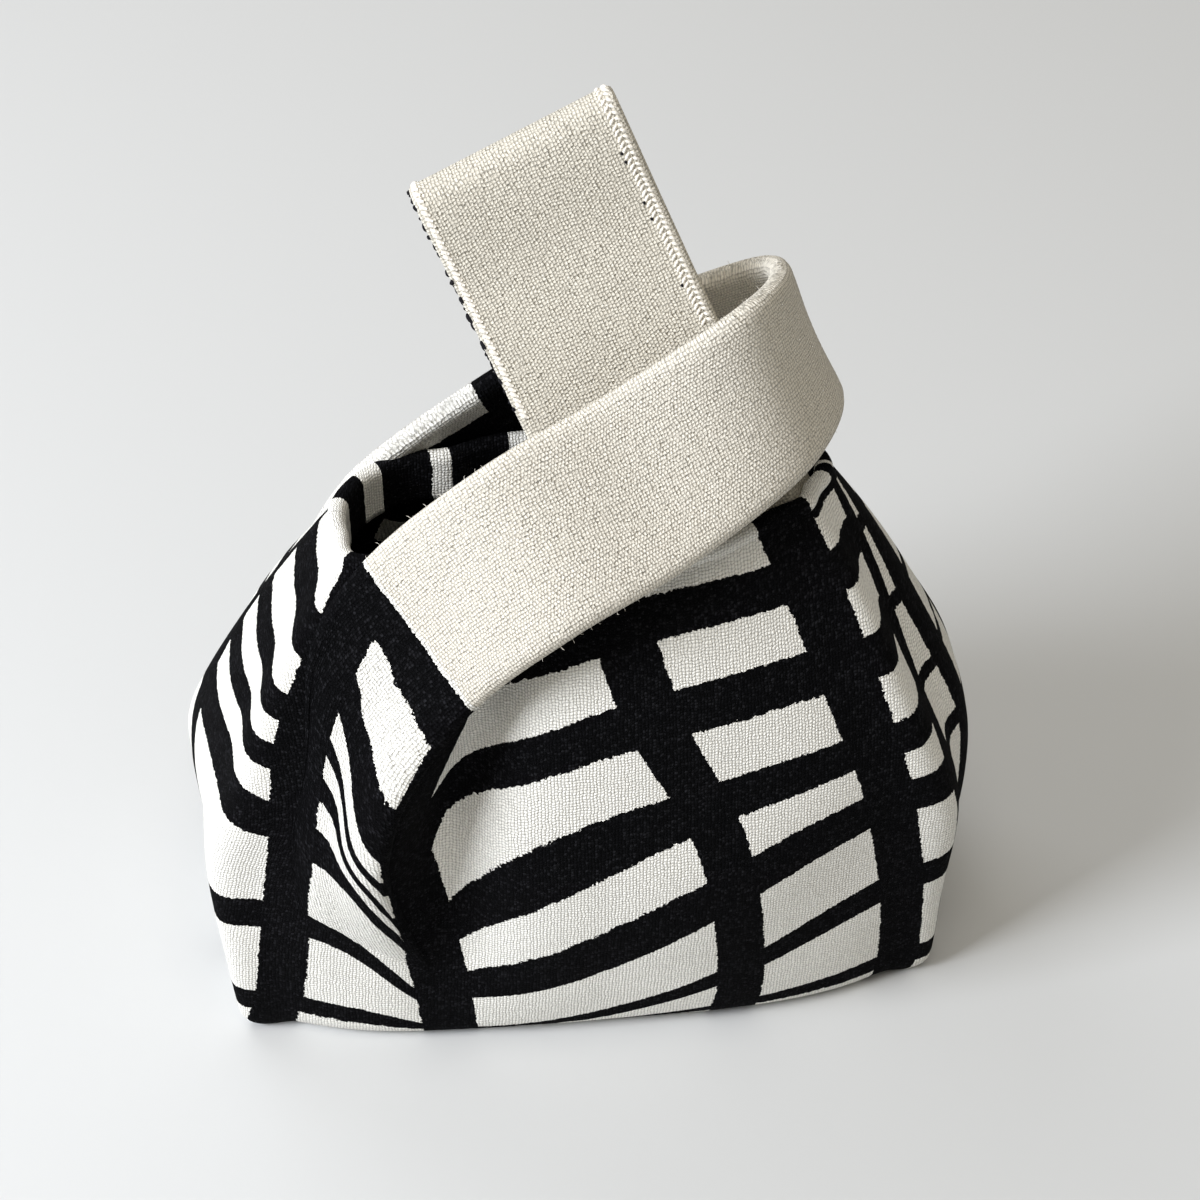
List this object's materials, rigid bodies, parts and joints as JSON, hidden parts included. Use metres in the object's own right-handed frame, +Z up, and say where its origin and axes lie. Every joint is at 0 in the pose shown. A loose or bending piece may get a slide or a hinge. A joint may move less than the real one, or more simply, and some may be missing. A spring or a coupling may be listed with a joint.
{
  "type": "knot bag",
  "caption": "Knitted knot bag: patterned pouch on an oval base, its long handle drawn up through a short wide loop that closes the mouth.",
  "frame": {"origin": "middle of the base's underside, on the surface the bag stands on", "axes": "+X to the bag's right, where the long handle is rooted, -Y to its front, +Z up"},
  "size_m": [0.2537, 0.1414, 0.296],
  "materials": {
    "pattern_knit": "matt two-colour jacquard knit, black bars on off-white",
    "cream_knit": "matt plain cream knit",
    "black_yarn": "matt black yarn",
    "white_yarn": "matt off-white yarn"
  },
  "bodies": {
    "bag": {"base_panel": "pattern_knit", "front_panel": "pattern_knit", "back_panel": "pattern_knit", "base_seam": "black_yarn", "left_side_seam": "pattern_knit", "right_side_seam": "pattern_knit", "front_hem": "pattern_knit", "back_hem": "pattern_knit", "short_handle_front_root": "cream_knit", "short_handle_back_root": "cream_knit", "long_handle_front_leg": "cream_knit", "long_handle_back_leg": "cream_knit"},
    "short_handle": {"short_handle_loop": "cream_knit"},
    "long_handle_stem": {"long_handle_front_stem": "cream_knit", "long_handle_back_stem": "cream_knit", "long_handle_front_bend": "cream_knit", "long_handle_back_bend": "cream_knit"},
    "long_handle_top": {"long_handle_loop": "cream_knit", "long_handle_left_edge": "black_yarn", "long_handle_right_edge": "white_yarn"}
  },
  "joints": [
    {"name": "knot_slide", "type": "slide", "parent": "bag", "child": "short_handle", "axis": [-0.3807, 0.4341, 0.8165], "range_m": [0, 0.01], "deforming": ["short_handle_front_root", "short_handle_back_root"]},
    {"name": "long_handle_pull", "type": "slide", "parent": "bag", "child": "long_handle_stem", "axis": [-0.3807, 0.4341, 0.8165], "range_m": [-0.006, 0.012], "deforming": ["long_handle_front_leg", "long_handle_back_leg"]},
    {"name": "long_handle_lean", "type": "hinge", "parent": "long_handle_stem", "child": "long_handle_top", "pos_m": [0.00715, 0.00981, 0.2327], "axis": [0.8576, 0.1205, 0.5], "range_deg": [-40, 55], "deforming": ["long_handle_front_bend", "long_handle_back_bend"]}
  ]
}
